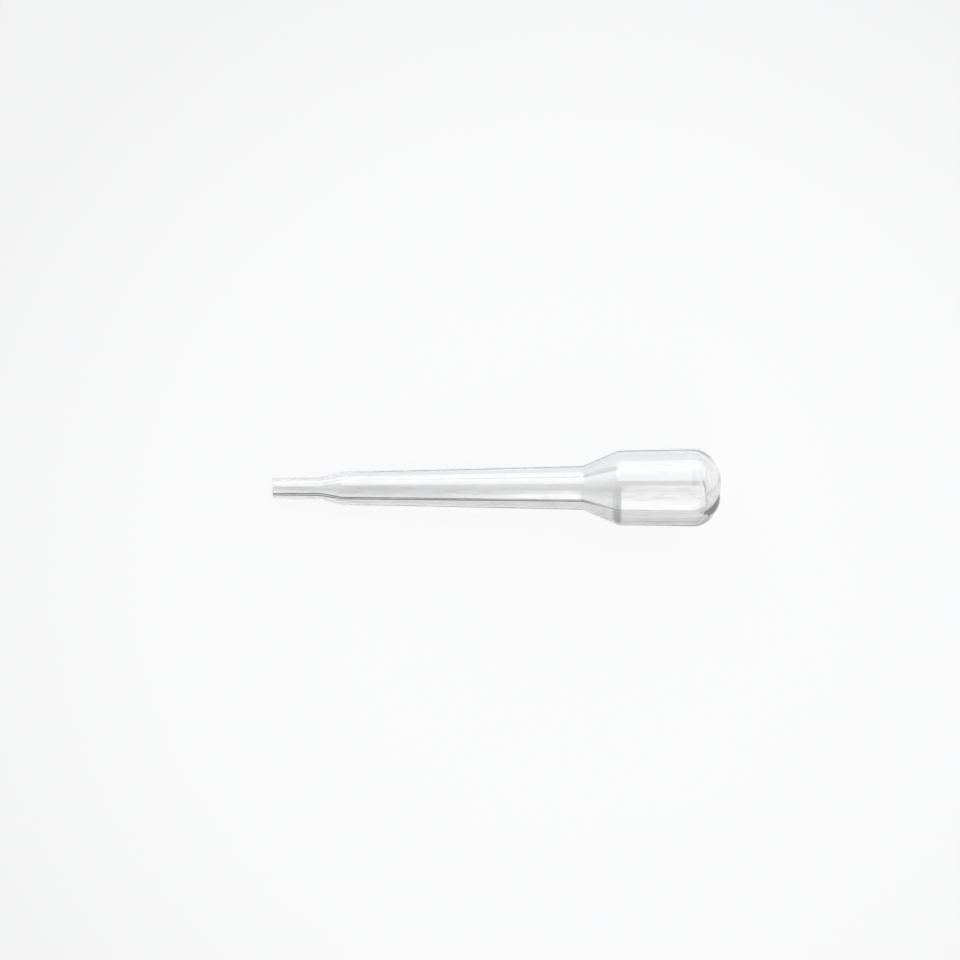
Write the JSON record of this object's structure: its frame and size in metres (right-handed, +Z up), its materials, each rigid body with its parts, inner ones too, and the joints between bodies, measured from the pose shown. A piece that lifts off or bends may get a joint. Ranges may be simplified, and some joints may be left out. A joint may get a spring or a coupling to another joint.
{
  "type": "dropper pipette",
  "caption": "One-piece clear plastic dropper pipette: narrow open tip, short step, long tapered stem and a shoulder into a round-ended squeeze bulb, lying on its side.",
  "frame": {"origin": "on the table under the middle of the pipette as it lies at rest: centre of the bounding box's bottom face", "axes": "+X along the pipette from the open tip towards the bulb, +Z up from the table, +Y to the left when looking from tip to bulb"},
  "size_m": [0.0842, 0.0146, 0.0153],
  "materials": {
    "clear_polyethylene": "clear, smooth as moulded, slightly wavy"
  },
  "bodies": {
    "root": {"pipette": "clear_polyethylene"}
  },
  "joints": []
}
